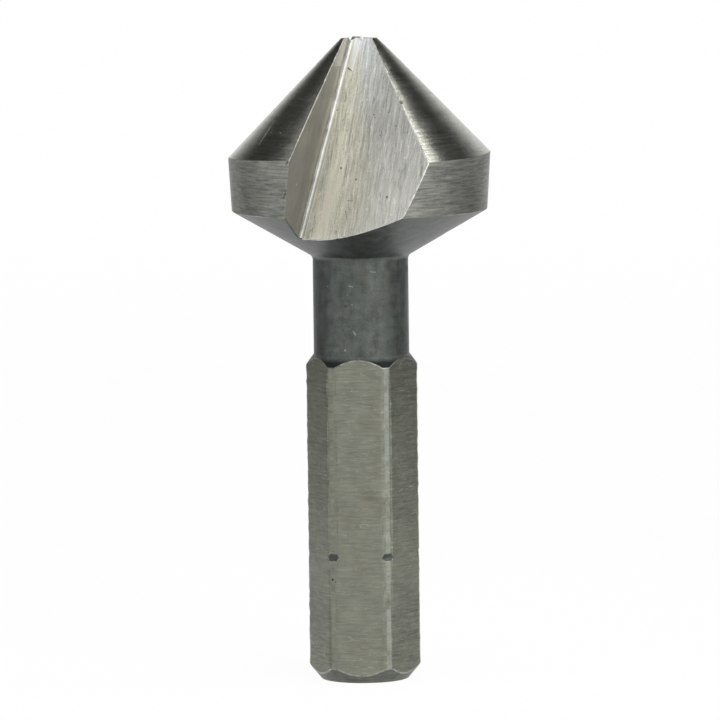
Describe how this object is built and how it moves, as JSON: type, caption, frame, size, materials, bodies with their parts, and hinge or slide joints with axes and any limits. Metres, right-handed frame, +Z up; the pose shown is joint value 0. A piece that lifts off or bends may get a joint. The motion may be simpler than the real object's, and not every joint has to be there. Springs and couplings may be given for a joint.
{
  "type": "countersink bit",
  "caption": "Hex-shank countersink bit: a ninety-degree cone with straight ground flutes on a turned neck, for sinking screw heads.",
  "frame": {"origin": "centre of the flat end of the shank, on the tool's axis", "axes": "+Z up the tool's axis to the cutting point; two of the hexagon's flats face -Y and +Y"},
  "size_m": [0.0165, 0.0157, 0.0408],
  "materials": {
    "tool_steel": "ground bright on the head and the hexagon, dull grey on the neck and chamfers"
  },
  "bodies": {
    "root": {"countersink_bit": "tool_steel"}
  },
  "joints": []
}
